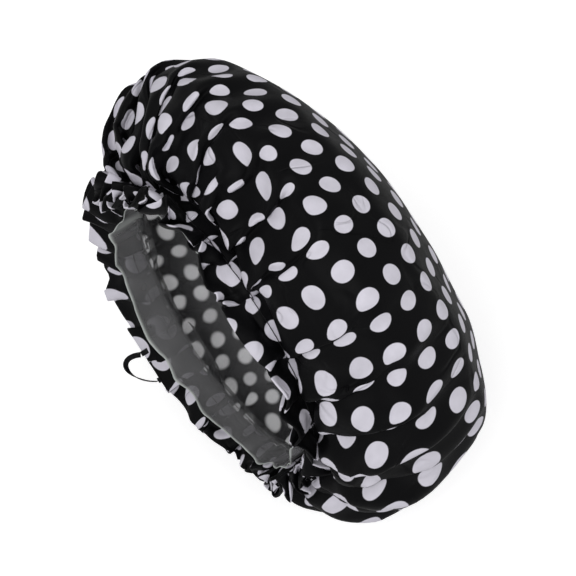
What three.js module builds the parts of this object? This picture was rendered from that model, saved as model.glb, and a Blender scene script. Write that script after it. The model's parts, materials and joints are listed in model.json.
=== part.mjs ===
import * as THREE from 'three';

// A bouffant shower cap lying on its side: a gathered bag of dotted cloth with a waterproof film inside,
// an elastic in a stitched casing, a turned frill round the mouth and a ribbon loop to hang it by.
// Millimetres. The cap's axis runs along X with the crown at +X and the mouth facing -X; +Z is up.

// The bag's outline, measured along the axis from the middle of the elastic
const bagRadius = 145;
const crownHeight = 117;
const shoulderHeight = 71;
const shoulderRadius = 138;
const equatorHeight = 24;
const mouthRadius = 94;
const sagDepth = 8;

// Cloth, film and the room between layers
const clothThickness = 0.6;
const filmThickness = 0.5;
const filmSlack = 10;
const layerGap = 0.3;

// Casing, elastic and sewing thread
const casingWidth = 12;
const stitchMargin = 1.6;
const elasticWidth = 6;
const elasticThickness = 0.8;
const elasticOverlap = 16;
const threadRadius = 0.25;
const stitchRise = 0.35;
const stitchCount = 60;

// Frill, turned hem and the film's free edge
const frillWidth = 15;
const frillFlare = 5;
const frillWave = 5.5;
const frillRetreat = 3.2;
const filmEdgeWidth = 8;
const filmEdgeLean = 4.6;
const filmEdgeWave = 1.3;
const filmEdgeWaveCount = 20;

// Pleats that run from the frill through the casing and join two by two up the side of the bag
const pleatCount = 32;
const pleatDepth = 4.2;
const foldDepth = 3.4;
const crowdingAngleDeg = 35;

// Hanging loop, sewn outside the frill at the low far side of the mouth
const ribbonWidth = 3.5;
const ribbonThickness = 0.6;
const loopSpan = 20;
const loopReach = 17;
const loopAngleDeg = -60;
const tabLength = 9;
const tabOverhang = 0.4;
const swingGap = 0.5;
const tackThreadRadius = 0.2;
const tackZigzags = 4;

// Facets: columns round the bag, steps along a ribbon
const bagColumns = 4 * pleatCount;
const filmColumns = 2 * pleatCount;
const ribbonSteps = 28;
const elasticSteps = 96;

const casingTop = casingWidth / 2;
const loopAngle = THREE.MathUtils.degToRad(loopAngleDeg);
const crowdingAngle = THREE.MathUtils.degToRad(crowdingAngleDeg);

// Depths below the cloth's outer face, counted inwards through the casing:
// cloth, join stitch, the elastic's two lapped ends, the turned hem, the film
const elasticDepth = clothThickness + layerGap + 2 * threadRadius + layerGap;
const hemDepth = elasticDepth + 2 * elasticThickness + 2 * layerGap;
const casingFilmDepth = hemDepth + clothThickness + layerGap;

// The frill's edge where the loop is sewn on, and the nose of its fold
const frillEdgeAxial = -casingTop - frillWidth;
const frillNoseAxial = frillEdgeAxial - hemDepth / 2;
const frillEdgeRadius = mouthRadius + frillFlare;

// Materials
function clothMaterial() {
  return new THREE.MeshStandardMaterial({ color: 0x151517, roughness: 0.45, metalness: 0 });
}

function filmMaterial() {
  return new THREE.MeshStandardMaterial({ color: 0xc4cac6, roughness: 0.35, metalness: 0 });
}

function elasticMaterial() {
  return new THREE.MeshStandardMaterial({ color: 0xe6e4de, roughness: 0.8, metalness: 0 });
}

function threadMaterial() {
  return new THREE.MeshStandardMaterial({ color: 0x1c1c1e, roughness: 0.6, metalness: 0 });
}

function ribbonMaterial() {
  return new THREE.MeshStandardMaterial({ color: 0x101012, roughness: 0.4, metalness: 0 });
}

// Skin over a stack of rings, each an array of points. Neighbouring rings have equal counts, or one
// has twice the other's. A ring of one point is a pole, and a first or last ring of more is capped.
// A four-sided facet is split from its crown side forwards, so that a wall's two faces fold alike.
function skin(rings, { endless = false } = {}) {
  const points = rings.flat();
  const starts = [];
  let count = 0;
  for (const ring of rings) {
    starts.push(count);
    count += ring.length;
  }
  const faces = [];
  const at = (row, i) => starts[row] + (i % rings[row].length);
  const bandCount = endless ? rings.length : rings.length - 1;
  for (let row = 0; row < bandCount; row++) {
    const next = (row + 1) % rings.length;
    const a = rings[row].length;
    const b = rings[next].length;
    const steps = Math.min(a, b) === 1 ? Math.max(a, b) : Math.min(a, b);
    for (let i = 0; i < steps; i++) {
      if (a === 1) {
        faces.push([at(row, 0), at(next, i), at(next, i + 1)]);
      } else if (b === 1) {
        faces.push([at(row, i + 1), at(row, i), at(next, 0)]);
      } else if (b > a) {
        const j = 2 * i;
        faces.push([at(row, i), at(next, j), at(next, j + 1)]);
        faces.push([at(row, i), at(next, j + 1), at(row, i + 1)]);
        faces.push([at(row, i + 1), at(next, j + 1), at(next, j + 2)]);
      } else if (a > b) {
        const j = 2 * i;
        faces.push([at(row, j + 1), at(row, j), at(next, i)]);
        faces.push([at(row, j + 1), at(next, i), at(next, i + 1)]);
        faces.push([at(row, j + 2), at(row, j + 1), at(next, i + 1)]);
      } else if (rings[row][0].x >= rings[next][0].x) {
        faces.push([at(row, i), at(next, i), at(next, i + 1)]);
        faces.push([at(row, i), at(next, i + 1), at(row, i + 1)]);
      } else {
        faces.push([at(row, i), at(next, i), at(row, i + 1)]);
        faces.push([at(row, i + 1), at(next, i), at(next, i + 1)]);
      }
    }
  }
  if (!endless) {
    capRing(faces, rings, starts, 0, false);
    capRing(faces, rings, starts, rings.length - 1, true);
  }
  return closedGeometry(points, faces);
}

// A fan of triangles that closes the first or last ring
function capRing(faces, rings, starts, row, last) {
  const n = rings[row].length;
  for (let i = 1; i < n - 1; i++) {
    const corner = [starts[row], starts[row] + i, starts[row] + i + 1];
    faces.push(last ? corner.reverse() : corner);
  }
}

// Geometry from points and faces, turned so that its faces point outwards
function closedGeometry(points, faces) {
  let volume = 0;
  for (const [a, b, c] of faces) {
    volume += points[a].dot(new THREE.Vector3().crossVectors(points[b], points[c]));
  }
  const outward = volume > 0 ? faces : faces.map(([a, b, c]) => [a, c, b]);
  const geometry = new THREE.BufferGeometry().setFromPoints(points);
  geometry.setIndex(outward.flat());
  geometry.computeVertexNormals();
  return geometry;
}

// The bag's meridian in axial and radial distance: crown, shoulder and side, each one Bezier curve
const crownFlatShare = 0.5;
const crownDropShare = 0.42;
const crownReachShare = 0.9;
const shoulderTurnShare = 0.45;
const equatorShare = 0.45;
const sideFullShare = 0.85;
const neckHeightShare = 0.4;
const neckRadiusShare = 0.45;

function meridianCurves() {
  const crown = new THREE.Vector2(crownHeight, 0);
  const shoulder = new THREE.Vector2(shoulderHeight, shoulderRadius);
  const equator = new THREE.Vector2(equatorHeight, bagRadius);
  const neck = new THREE.Vector2(casingTop, mouthRadius);
  const crownHandle = new THREE.Vector2(crownHeight, shoulderRadius * crownFlatShare);
  const shoulderHandle = new THREE.Vector2(
    shoulderHeight + (crownHeight - shoulderHeight) * crownDropShare,
    shoulderRadius * crownReachShare,
  );
  const turnHandle = shoulder.clone().lerp(shoulderHandle, -shoulderTurnShare);
  turnHandle.y = Math.min(turnHandle.y, bagRadius);
  const equatorHandle = new THREE.Vector2(
    equatorHeight + (shoulderHeight - equatorHeight) * equatorShare,
    bagRadius,
  );
  const sideHandle = new THREE.Vector2(equatorHeight - (equatorHeight - casingTop) * sideFullShare, bagRadius);
  const neckHandle = new THREE.Vector2(
    casingTop + (equatorHeight - casingTop) * neckHeightShare,
    mouthRadius + (bagRadius - mouthRadius) * neckRadiusShare,
  );
  return {
    crown: new THREE.CubicBezierCurve(crown, crownHandle, shoulderHandle, shoulder),
    shoulder: new THREE.CubicBezierCurve(shoulder, turnHandle, equatorHandle, equator),
    side: new THREE.CubicBezierCurve(equator, sideHandle, neckHandle, neck),
  };
}

// Rows of the bag from the crown's centre to the casing: which curve, how far along it, how many
// columns, how much of the pleats' and folds' depth it shows, and how far in the film hangs
const bagRowShares = [
  { curve: 'crown', along: 0, columns: 0, pleat: 0, fold: 0, slack: 0.2 },
  { curve: 'crown', along: 0.42, columns: 0.125, pleat: 0, fold: 0, slack: 0.2 },
  { curve: 'crown', along: 0.8, columns: 0.25, pleat: 0, fold: 0, slack: 0.2 },
  { curve: 'crown', along: 1, columns: 0.5, pleat: 0, fold: 0, slack: 0.2 },
  { curve: 'shoulder', along: 0.5, columns: 0.5, pleat: 0, fold: 0.2, slack: 0.25 },
  { curve: 'shoulder', along: 1, columns: 0.5, pleat: 0, fold: 0.6, slack: 0.35 },
  { curve: 'side', along: 0.35, columns: 1, pleat: 0.3, fold: 0.75, slack: 0.46 },
  { curve: 'side', along: 0.6, columns: 1, pleat: 0.7, fold: 0.65, slack: 0.62 },
  { curve: 'side', along: 0.83, columns: 1, pleat: 0.85, fold: 0.25, slack: 0.8 },
];

// Cloth slides along the elastic: it crowds at two opposite places and is spread between them
const crowdingShare = 0.3;

function crowded(angle) {
  return angle - (crowdingShare / 2) * Math.sin(2 * (angle - crowdingAngle));
}

// Phase of the pleats at an angle on the flat cut: an even count, hurried and slowed by slow sines
const pleatDrifts = [
  { turns: 2, size: 1.1, start: 0.4 },
  { turns: 3, size: 1.0, start: 2.1 },
  { turns: 5, size: 0.8, start: 4.0 },
  { turns: 7, size: 0.7, start: 1.1 },
  { turns: 11, size: 0.5, start: 5.2 },
];
const foldStart = 0.8;

function pleatPhase(angle) {
  return pleatDrifts.reduce(
    (phase, { turns, size, start }) => phase + size * Math.sin(turns * angle + start),
    pleatCount * angle,
  );
}

// 1 away from where the hanging loop is sewn on, and 0 there, where the ribbon keeps the frill flat
const loopCalmAngle = 0.24;

function calmAt(place) {
  const away = Math.atan2(Math.sin(place - loopAngle), Math.cos(place - loopAngle));
  return 1 - Math.exp(-((away / loopCalmAngle) ** 4));
}

// A point at a radius and angle round the axis, no lower than the surface the cap lies on plus its depth
function onCap(axial, radius, angle, depth) {
  const floorLevel = sagDepth - bagRadius + depth;
  const up = Math.max(radius * Math.sin(angle), floorLevel);
  return new THREE.Vector3(axial, radius * Math.cos(angle), up);
}

// A ring of cloth at one depth below its outer face. Its columns crowd with the cloth, and its waves push
// along an outward direction, given in axial and radial parts.
const straightOut = new THREE.Vector2(0, 1);

function clothRing(columns, axial, radius, depth, waveAt = () => 0, outward = straightOut) {
  if (columns < 1) {
    return [onCap(axial, radius, 0, depth)];
  }
  return Array.from({ length: columns }, (_, i) => {
    const angle = (2 * Math.PI * i) / columns;
    const wave = waveAt(angle);
    return onCap(axial + wave * outward.x, radius + wave * outward.y, crowded(angle), depth);
  });
}

// A ring of film, whose columns are even
function filmRing(columns, axial, radius, depth, waveAt = () => 0) {
  if (columns < 1) {
    return [onCap(axial, radius, 0, depth)];
  }
  return Array.from({ length: columns }, (_, i) => {
    const angle = (2 * Math.PI * i) / columns;
    return onCap(axial, radius + waveAt(angle), angle, depth);
  });
}

// A place on the meridian at a depth below the outer face, and the direction outwards there
function onMeridian(curves, { curve, along }, depth) {
  const tangent = curves[curve].getTangent(along);
  const outward = new THREE.Vector2(tangent.y, -tangent.x);
  return { place: curves[curve].getPoint(along).addScaledVector(outward, -depth), outward };
}

// Outer cloth: the gathered bag and the straight band over the elastic
function outerFabric() {
  const curves = meridianCurves();
  const face = (depth) => [
    ...bagRowShares.map((row) => {
      const { place, outward } = onMeridian(curves, row, depth);
      const wave = (angle) =>
        pleatDepth * row.pleat * Math.sin(pleatPhase(angle)) +
        foldDepth * row.fold * Math.sin(pleatPhase(angle) / 2 + foldStart);
      const radius = row.columns ? place.y : 0;
      return clothRing(row.columns * bagColumns, place.x, radius, depth, wave, outward);
    }),
    clothRing(bagColumns, casingTop, mouthRadius - depth, depth),
    clothRing(bagColumns, -casingTop, mouthRadius - depth, depth),
  ];
  return skin([...face(0), ...face(clothThickness).reverse()]);
}

// Waterproof film: hangs inside the folds of the cloth, passes under the casing and ends in a free edge
// that leans into the mouth with its own small waves
function waterproofLiner() {
  const curves = meridianCurves();
  const edgeAxial = -casingTop - filmEdgeWidth;
  const edgeWave = (angle) => filmEdgeWave * Math.cos(filmEdgeWaveCount * angle);
  const face = (depth) => {
    const inner = mouthRadius - casingFilmDepth - depth;
    return [
      ...bagRowShares.map((row) => {
        const hung = clothThickness + filmSlack * row.slack + depth;
        const { place } = onMeridian(curves, row, hung);
        const radius = row.columns ? place.y : 0;
        return filmRing(Math.min(2 * row.columns, 1) * filmColumns, place.x, radius, hung);
      }),
      filmRing(filmColumns, casingTop, inner, casingFilmDepth + depth),
      filmRing(filmColumns, -casingTop, inner, casingFilmDepth + depth),
      filmRing(filmColumns, edgeAxial, inner - filmEdgeLean, casingFilmDepth + depth, edgeWave),
    ];
  };
  return skin([...face(0), ...face(filmThickness).reverse()]);
}

// Frill: the cloth's rim runs on past the casing, folds inwards at its edge and comes back under the
// elastic, where both stitch rows catch its raw edge. Away from the loop its edge waves with the pleats
// and so draws back a little.
function frillHem() {
  const foldReach = hemDepth / 2;
  const rootAxial = -casingTop - layerGap;
  const rootRow = (axial, depth) => clothRing(bagColumns, axial, mouthRadius - depth, depth);
  const edgeRow = (past, depth) =>
    Array.from({ length: bagColumns }, (_, i) => {
      const angle = (2 * Math.PI * i) / bagColumns;
      const calm = calmAt(crowded(angle));
      const axial = frillEdgeAxial - past + frillRetreat * calm;
      const wave = frillWave * calm * Math.sin(pleatPhase(angle));
      return onCap(axial, frillEdgeRadius - depth + wave, crowded(angle), depth);
    });
  const innerDepth = hemDepth + clothThickness;
  return skin(
    [
      rootRow(rootAxial, 0),
      edgeRow(0, 0),
      edgeRow(foldReach, innerDepth / 2),
      edgeRow(0, innerDepth),
      rootRow(rootAxial, innerDepth),
      rootRow(casingTop, innerDepth),
      rootRow(casingTop, hemDepth),
      rootRow(rootAxial, hemDepth),
      edgeRow(0, hemDepth),
      edgeRow(foldReach - clothThickness, innerDepth / 2),
      edgeRow(0, clothThickness),
      rootRow(rootAxial, clothThickness),
    ],
    { endless: true },
  );
}

// Corners of a flat strip's section across a direction and a thickness direction
function stripSection(centre, across, through, width, thickness) {
  const w = width / 2;
  const t = thickness / 2;
  return [
    [-w, -t],
    [w, -t],
    [w, t],
    [-w, t],
  ].map(([u, v]) => centre.clone().addScaledVector(across, u).addScaledVector(through, v));
}

const axisDirection = new THREE.Vector3(1, 0, 0);

function outwardAt(angle) {
  return new THREE.Vector3(0, Math.cos(angle), Math.sin(angle));
}

// Elastic: one strip laid in a slow spiral, so that its ends lap over each other in the casing
function elasticBand() {
  const outerRadius = mouthRadius - elasticDepth - elasticThickness / 2;
  const lapAngle = elasticOverlap / outerRadius;
  const sweep = 2 * Math.PI + lapAngle;
  const stepIn = elasticThickness + layerGap;
  const rings = [];
  for (let i = 0; i <= elasticSteps; i++) {
    const turned = (sweep * i) / elasticSteps;
    const outward = outwardAt(turned);
    const radius = outerRadius - stepIn * Math.min(1, turned / (2 * Math.PI));
    const centre = outward.clone().multiplyScalar(radius);
    rings.push(stripSection(centre, axisDirection, outward, elasticWidth, elasticThickness));
  }
  return skin(rings);
}

// A thread of square section through a line of points that stand off a surface along outward
function thread(points, outwards, radius, endless = false) {
  const rings = points.map((point, i) => {
    const before = points[endless ? (i + points.length - 1) % points.length : Math.max(i - 1, 0)];
    const after = points[endless ? (i + 1) % points.length : Math.min(i + 1, points.length - 1)];
    const along = after.clone().sub(before).normalize();
    const across = new THREE.Vector3().crossVectors(along, outwards[i]).normalize();
    return stripSection(point, across, outwards[i], 2 * radius, 2 * radius);
  });
  return skin(rings, { endless });
}

// One row of machine stitching round the casing: the thread bows up over each stitch and dips between
function stitchRow(axial, faceRadius, side) {
  const points = [];
  const outwards = [];
  const steps = 2 * stitchCount;
  for (let i = 0; i < steps; i++) {
    const angle = (2 * Math.PI * i) / steps;
    const rise = i % 2 ? stitchRise : 0;
    const radius = faceRadius + side * (layerGap + threadRadius + rise);
    points.push(outwardAt(angle).multiplyScalar(radius).setX(axial));
    outwards.push(outwardAt(angle));
  }
  return thread(points, outwards, threadRadius, true);
}

// How far a zigzag reaches to each side, as a share of the strip it is sewn on
const zigzagShare = 1 / 3;

// Zigzag that sews the elastic's lapped ends together, on the outer face of the outer end
function elasticJoinStitch() {
  const radius = mouthRadius - elasticDepth + layerGap + threadRadius;
  const lapAngle = elasticOverlap / radius;
  const points = [];
  const outwards = [];
  const turns = 2 * tackZigzags;
  for (let i = 0; i <= turns; i++) {
    const angle = (lapAngle * (i + 1)) / (turns + 2);
    const side = i % 2 ? 1 : -1;
    points.push(outwardAt(angle).multiplyScalar(radius).setX(side * zigzagShare * elasticWidth));
    outwards.push(outwardAt(angle));
  }
  return thread(points, outwards, threadRadius);
}

// Where the loop is sewn: the frill's outer face there, its slope, and the line the loop swings about
const loopOutward = outwardAt(loopAngle);
const loopAlong = new THREE.Vector3(0, -Math.sin(loopAngle), Math.cos(loopAngle));
const tabRadius = frillEdgeRadius + layerGap + ribbonThickness;
const hingeAxial = frillNoseAxial - tabOverhang - swingGap;

function atLoop(axial, radius, along) {
  return loopOutward.clone().multiplyScalar(radius).addScaledVector(loopAlong, along).setX(axial);
}

// A sewn ribbon end: flat on the frill's outer face, from under the hem's fold to just past it
function loopTab(side) {
  const slope = new THREE.Vector2(frillWidth, frillFlare).normalize();
  const innerAxial = frillEdgeAxial + tabLength * slope.x;
  const innerRadius = tabRadius - tabLength * slope.y;
  const along = (side * loopSpan) / 2;
  const stations = [
    atLoop(innerAxial, innerRadius, along),
    atLoop(frillEdgeAxial, tabRadius, along),
    atLoop(hingeAxial + swingGap, tabRadius, along),
  ];
  return skin(stations.map((s) => stripSection(s, loopAlong, loopOutward, ribbonWidth, ribbonThickness)));
}

// Bar tack: a close zigzag of thread over the sewn ribbon end
function loopTack(side) {
  const slope = new THREE.Vector2(frillWidth, frillFlare).normalize();
  const standOff = ribbonThickness / 2 + layerGap + tackThreadRadius;
  const points = [];
  const outwards = [];
  const turns = 2 * tackZigzags;
  for (let i = 0; i <= turns; i++) {
    const back = (tabLength * (i + 1)) / (turns + 2);
    const across = (i % 2 ? 1 : -1) * zigzagShare * ribbonWidth;
    const radius = tabRadius + standOff - back * slope.y;
    points.push(atLoop(frillEdgeAxial + back * slope.x, radius, (side * loopSpan) / 2 + across));
    outwards.push(loopOutward);
  }
  return thread(points, outwards, tackThreadRadius);
}

// Hanging loop: the ribbon leaves the seam flat, turns a quarter on its way out and stands on edge
// round the bight, as a narrow ribbon does when both its ends are sewn down side by side
function hangingLoop() {
  const rings = [];
  for (let i = 0; i <= ribbonSteps; i++) {
    const turn = (Math.PI * i) / ribbonSteps;
    const out = Math.sin(turn);
    const centre = atLoop(hingeAxial - loopReach * out, tabRadius, (loopSpan / 2) * Math.cos(turn));
    const along = loopAlong.clone().multiplyScalar((-loopSpan / 2) * Math.sin(turn));
    along.addScaledVector(axisDirection, -loopReach * Math.cos(turn)).normalize();
    const flatAcross = new THREE.Vector3().crossVectors(along, loopOutward).normalize();
    const twist = (Math.PI / 2) * out;
    const across = flatAcross.clone().multiplyScalar(Math.cos(twist));
    across.addScaledVector(loopOutward, Math.sin(twist));
    const through = new THREE.Vector3().crossVectors(along, across).normalize();
    rings.push(stripSection(centre, across, through, ribbonWidth, ribbonThickness));
  }
  return skin(rings);
}

function addPart(group, name, geometry, material) {
  const mesh = new THREE.Mesh(geometry, material);
  mesh.name = name;
  group.add(mesh);
}

const cap = new THREE.Group();
const crownRow = casingTop - stitchMargin;
const mouthRow = -casingTop + stitchMargin;
const filmInnerRadius = mouthRadius - casingFilmDepth - filmThickness;

addPart(cap, 'outer_fabric', outerFabric(), clothMaterial());
addPart(cap, 'frill_hem', frillHem(), clothMaterial());
addPart(cap, 'waterproof_liner', waterproofLiner(), filmMaterial());
addPart(cap, 'elastic_band', elasticBand(), elasticMaterial());
addPart(cap, 'elastic_join_stitch', elasticJoinStitch(), threadMaterial());
addPart(cap, 'casing_thread_crown_row_outside', stitchRow(crownRow, mouthRadius, 1), threadMaterial());
addPart(cap, 'casing_thread_crown_row_inside', stitchRow(crownRow, filmInnerRadius, -1), threadMaterial());
addPart(cap, 'casing_thread_mouth_row_outside', stitchRow(mouthRow, mouthRadius, 1), threadMaterial());
addPart(cap, 'casing_thread_mouth_row_inside', stitchRow(mouthRow, filmInnerRadius, -1), threadMaterial());
addPart(cap, 'loop_end_upper', loopTab(1), ribbonMaterial());
addPart(cap, 'loop_end_lower', loopTab(-1), ribbonMaterial());
addPart(cap, 'loop_tack_upper', loopTack(1), threadMaterial());
addPart(cap, 'loop_tack_lower', loopTack(-1), threadMaterial());
addPart(cap, 'hanging_loop', hangingLoop(), ribbonMaterial());

// The origin is under the middle of the cap's box, on the surface that it lies on
const box = new THREE.Box3().setFromObject(cap);
const middle = box.getCenter(new THREE.Vector3());
cap.position.set(-middle.x, -middle.y, -box.min.z);

const shower_cap = new THREE.Group();
shower_cap.add(cap);
export default shower_cap;
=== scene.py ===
# %% [markdown]
# # A gathered shower cap
# A black satin bag with white dots lies on its side, its mouth towards the viewer's left. Inside it
# hangs a hazy waterproof film. An elastic gathers both layers, the cloth runs on as a frill, and a
# ribbon loop is sewn to the frill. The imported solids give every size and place; this script gives
# the cloth its folds and every surface its finish.

# %% The frame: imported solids, and what is measured on them
import json
import math

import bmesh
import bpy
import numpy as np
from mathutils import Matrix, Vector


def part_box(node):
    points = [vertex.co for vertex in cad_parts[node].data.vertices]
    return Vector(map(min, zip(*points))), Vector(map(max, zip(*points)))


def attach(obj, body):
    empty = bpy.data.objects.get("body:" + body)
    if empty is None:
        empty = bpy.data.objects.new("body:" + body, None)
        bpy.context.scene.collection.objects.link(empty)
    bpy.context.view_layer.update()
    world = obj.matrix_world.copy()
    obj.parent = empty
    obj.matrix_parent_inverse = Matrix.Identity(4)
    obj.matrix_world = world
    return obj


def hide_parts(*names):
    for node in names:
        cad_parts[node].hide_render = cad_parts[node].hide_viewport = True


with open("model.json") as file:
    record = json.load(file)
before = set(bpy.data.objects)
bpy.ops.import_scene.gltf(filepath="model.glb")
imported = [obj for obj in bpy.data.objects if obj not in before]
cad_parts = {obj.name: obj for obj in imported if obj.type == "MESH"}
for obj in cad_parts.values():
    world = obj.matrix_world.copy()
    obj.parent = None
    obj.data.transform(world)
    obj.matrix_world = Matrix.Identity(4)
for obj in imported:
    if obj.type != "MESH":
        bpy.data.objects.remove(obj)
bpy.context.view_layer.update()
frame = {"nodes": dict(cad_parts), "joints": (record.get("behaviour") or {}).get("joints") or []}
MM = 0.001

elastic_low, elastic_high = (np.array(corner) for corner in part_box("elastic_band"))
mouth_centre = (elastic_low + elastic_high) / 2
elastic_radius = (elastic_high[2] - elastic_low[2]) / 2
elastic_depth = 1.9 * MM
print("mouth centre", mouth_centre.round(4), "elastic radius", round(elastic_radius, 4))

# %% [markdown]
# ## The cut and the outline
# The real cap starts as a flat disc of cloth. Sewn to a stretched elastic it puffs into a drum: a
# sloping crown, a soft ridge, a short wall and a side that turns in to the mouth. That outline could
# be traced point by point, but three Bezier curves give the same one from a few sizes, and the
# length along them is the disc's radius, so the same curve also says how much cloth each ring holds.

# %% The meridian of the bag
bag_radius = 145 * MM
crown_height = 117 * MM
shoulder_height = 65 * MM
shoulder_radius = 138 * MM
equator_height = 33 * MM
neck_radius = 94 * MM
casing_half = 6 * MM
puff_past_casing = 25 * MM


def bezier(corners, steps=160):
    """Points of a cubic Bezier curve: each corner times its share of (1 - t) and t, at even steps of t."""
    t = np.linspace(0, 1, steps)[:, None]
    a, b, c, d = (np.array(corner) for corner in corners)
    return a * (1 - t) ** 3 + 3 * b * t * (1 - t) ** 2 + 3 * c * t**2 * (1 - t) + d * t**3


def bag_meridian():
    """Axial and radial distance from the crown's centre to the casing: crown, shoulder and side curve."""
    crown = np.array([crown_height, 0])
    shoulder = np.array([shoulder_height, shoulder_radius])
    equator = np.array([equator_height, bag_radius])
    neck = np.array([casing_half, neck_radius])
    crown_handle = np.array([crown_height, shoulder_radius * 0.42])
    shoulder_handle = shoulder + np.array([(crown_height - shoulder_height) * 0.7, -shoulder_radius * 0.27])
    turn_handle = shoulder + np.array(
        [-(shoulder_height - equator_height) * 0.33, (bag_radius - shoulder_radius) * 0.3]
    )
    equator_handle = equator + np.array([(shoulder_height - equator_height) * 0.45, 0])
    side_handle = equator - np.array([equator_height * 0.55, 0])
    neck_handle = neck + np.array([-puff_past_casing, (bag_radius - neck_radius) * 0.14])
    curves = [
        (crown, crown_handle, shoulder_handle, shoulder),
        (shoulder, turn_handle, equator_handle, equator),
        (equator, side_handle, neck_handle, neck),
    ]
    return np.vstack([bezier(c)[:-1] for c in curves] + [neck[None]])


def outline_of(points):
    """An outline as (length along it, axial place, radial place), the length summed from its steps."""
    steps = np.linalg.norm(np.diff(points, axis=0), axis=1)
    return np.concatenate([[0], np.cumsum(steps)]), points[:, 0], points[:, 1]


def on_outline(outline, along):
    """Axial place, radial place and outward normal at a length along an outline, by linear lookup."""
    length, axial, radial = outline
    step = 1.5 * MM
    before, after = np.clip(along - step, 0, length[-1]), np.clip(along + step, 0, length[-1])
    run = np.interp(after, length, axial) - np.interp(before, length, axial)
    rise = np.interp(after, length, radial) - np.interp(before, length, radial)
    size = np.hypot(run, rise)
    return np.interp(along, length, axial), np.interp(along, length, radial), rise / size, -run / size


bag_outline = outline_of(bag_meridian())
bag_length = bag_outline[0][-1]
print("cloth from the crown's centre to the casing", round(bag_length / MM, 1), "mm")


# %% [markdown]
# ## A disc of rings
# The cloth is a grid of rings round the crown's centre. Rings near the centre have fewer points than
# those at the rim, so that the threads between points stay about equally long everywhere, which a
# cloth simulation needs. Each point keeps its place on the flat disc, which is where the printed
# dots are read from, so they bend and hide with the folds as real print does.

# %% Rings, faces and flat places
outer_columns = 288
ring_step = 5.5 * MM
halving_radii = [0.156, 0.078, 0.039, 0.0195, 0.0098]


def ring_table(rim):
    """Radii on the flat disc and point counts: the count halves inside each of the halving radii."""
    count = int(round(rim / ring_step))
    radii = np.linspace(0, rim, count + 1)[1:]
    halvings = sum((radii < limit).astype(int) for limit in halving_radii)
    return radii, outer_columns // 2**halvings


def disc_faces(counts):
    """A disc's faces: a fan at the centre, quads between equal rings, triangles where a ring doubles."""
    starts = np.concatenate([[1], 1 + np.cumsum(counts)])
    first = np.arange(counts[0])
    faces = [np.stack([np.zeros_like(first), 1 + first, 1 + (first + 1) % counts[0]], 1)]
    for row in range(len(counts) - 1):
        a, b = counts[row], counts[row + 1]
        i = np.arange(a)
        near, far = starts[row] + i, starts[row] + (i + 1) % a
        if a == b:
            out, out_next = starts[row + 1] + i, starts[row + 1] + (i + 1) % b
            faces.append(np.stack([near, out, out_next, far], 1))
            continue
        left, middle, right = (starts[row + 1] + (2 * i + k) % b for k in range(3))
        faces.append(np.stack([near, left, middle], 1))
        faces.append(np.stack([near, middle, far], 1))
        faces.append(np.stack([far, middle, right], 1))
    return [face for block in faces for face in block.tolist()]


def disc_grid(radii, counts):
    """Radius and angle on the flat disc for every point, the centre first."""
    radius = np.concatenate([[0], np.repeat(radii, counts)])
    angle = np.concatenate([[0]] + [np.arange(n) * 2 * math.pi / n for n in counts])
    return radius, angle


# %% [markdown]
# ## Gathers
# The elastic draws a ring of cloth to about a third of its length, so the cloth lies in pleats that
# overlap. A plain sine wave of that length would stand up like a saw blade. A wave that also leans
# sideways folds over itself as real pleats do, and since leaning only shears the wave, its walls can
# never cross. How far it leans is solved for each ring, so that every ring holds all of its cloth.
# The cloth also slides along the elastic: it crowds at two opposite places and is spread between them.

# %% Pleats that lean, and cloth that crowds
pleat_count = 32
pleat_drifts = [(2, 1.1, 0.4), (3, 1.0, 2.1), (5, 0.8, 4.0), (7, 0.7, 1.1), (11, 0.5, 5.2)]
crowding_share = 0.3
crowding_angle = math.radians(35)
spread_length = 155 * MM
spread_slope = 0.9


def smooth_step(value, low, high):
    """0 below low, 1 above high, and 3t^2 - 2t^3 between them."""
    t = np.clip((value - low) / (high - low), 0, 1)
    return t * t * (3 - 2 * t)


def pleat_phase(angle):
    """Phase of the pleats round the mouth: an even count, hurried and slowed by a few slow sines."""
    drift = sum(size * np.sin(turns * angle + start) for turns, size, start in pleat_drifts)
    return pleat_count * angle + drift


def crowded(angle, amount=1.0):
    """Place round the axis of a place on the cut: the angle less a slow sine with two turns."""
    return angle - amount * crowding_share / 2 * np.sin(2 * (angle - crowding_angle))


def cloth_ratio(held, radial, angle, amount):
    """How many times the cloth is longer than its span there: the ring's relaxed radius over the one
    that it has on the cap, over the slope of the crowding."""
    slope = 1 - amount * crowding_share * np.cos(2 * (angle - crowding_angle))
    return np.maximum(held / np.maximum(radial, MM) / slope, 1)


def relaxed(outline, along, full=1.0):
    """Axial place and radius of a ring of cloth at rest. Woven cloth shears over the crown and the wall
    as it does over a dome, so up to the spread length a ring is as long as the outline's; past it the
    cloth is a flat ring. full is the share of the spare cloth that is there. The axial place comes from
    the step along and the step in radius, as the other leg of a right triangle."""
    fine = np.linspace(0, outline[0][-1] + 60 * MM, 1200)
    _, radial, _, _ = on_outline(outline, fine)
    ending = np.interp(spread_length, outline[0], outline[2])
    spare = np.where(fine > spread_length, ending + spread_slope * (fine - spread_length) - radial, 0)
    radius = radial + full * np.maximum(spare, 0)
    step = np.diff(fine)
    axial = np.concatenate([[0], np.cumsum(np.sqrt(np.maximum(step**2 - np.diff(radius) ** 2, 0)))])
    return -np.interp(along, fine, axial), np.interp(along, fine, radius)


def lean_for(ratio, height_share):
    """Lean of a wave whose length is ratio times its span, by halving the interval 16 times.
    The wave goes (phase + lean sin phase, height sin phase), and its length is the mean of its speed."""
    turn = np.cos(np.linspace(0, 2 * math.pi, 33)[:-1])
    ratio, height_share = np.broadcast_arrays(ratio, height_share)
    low, high = np.zeros_like(ratio), np.full_like(ratio, 9.0)
    for _ in range(16):
        lean = (low + high) / 2
        speed = np.hypot(1 + lean[..., None] * turn, height_share[..., None] * turn)
        short = speed.mean(-1) < ratio
        low, high = np.where(short, lean, low), np.where(short, high, lean)
    return (low + high) / 2


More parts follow.
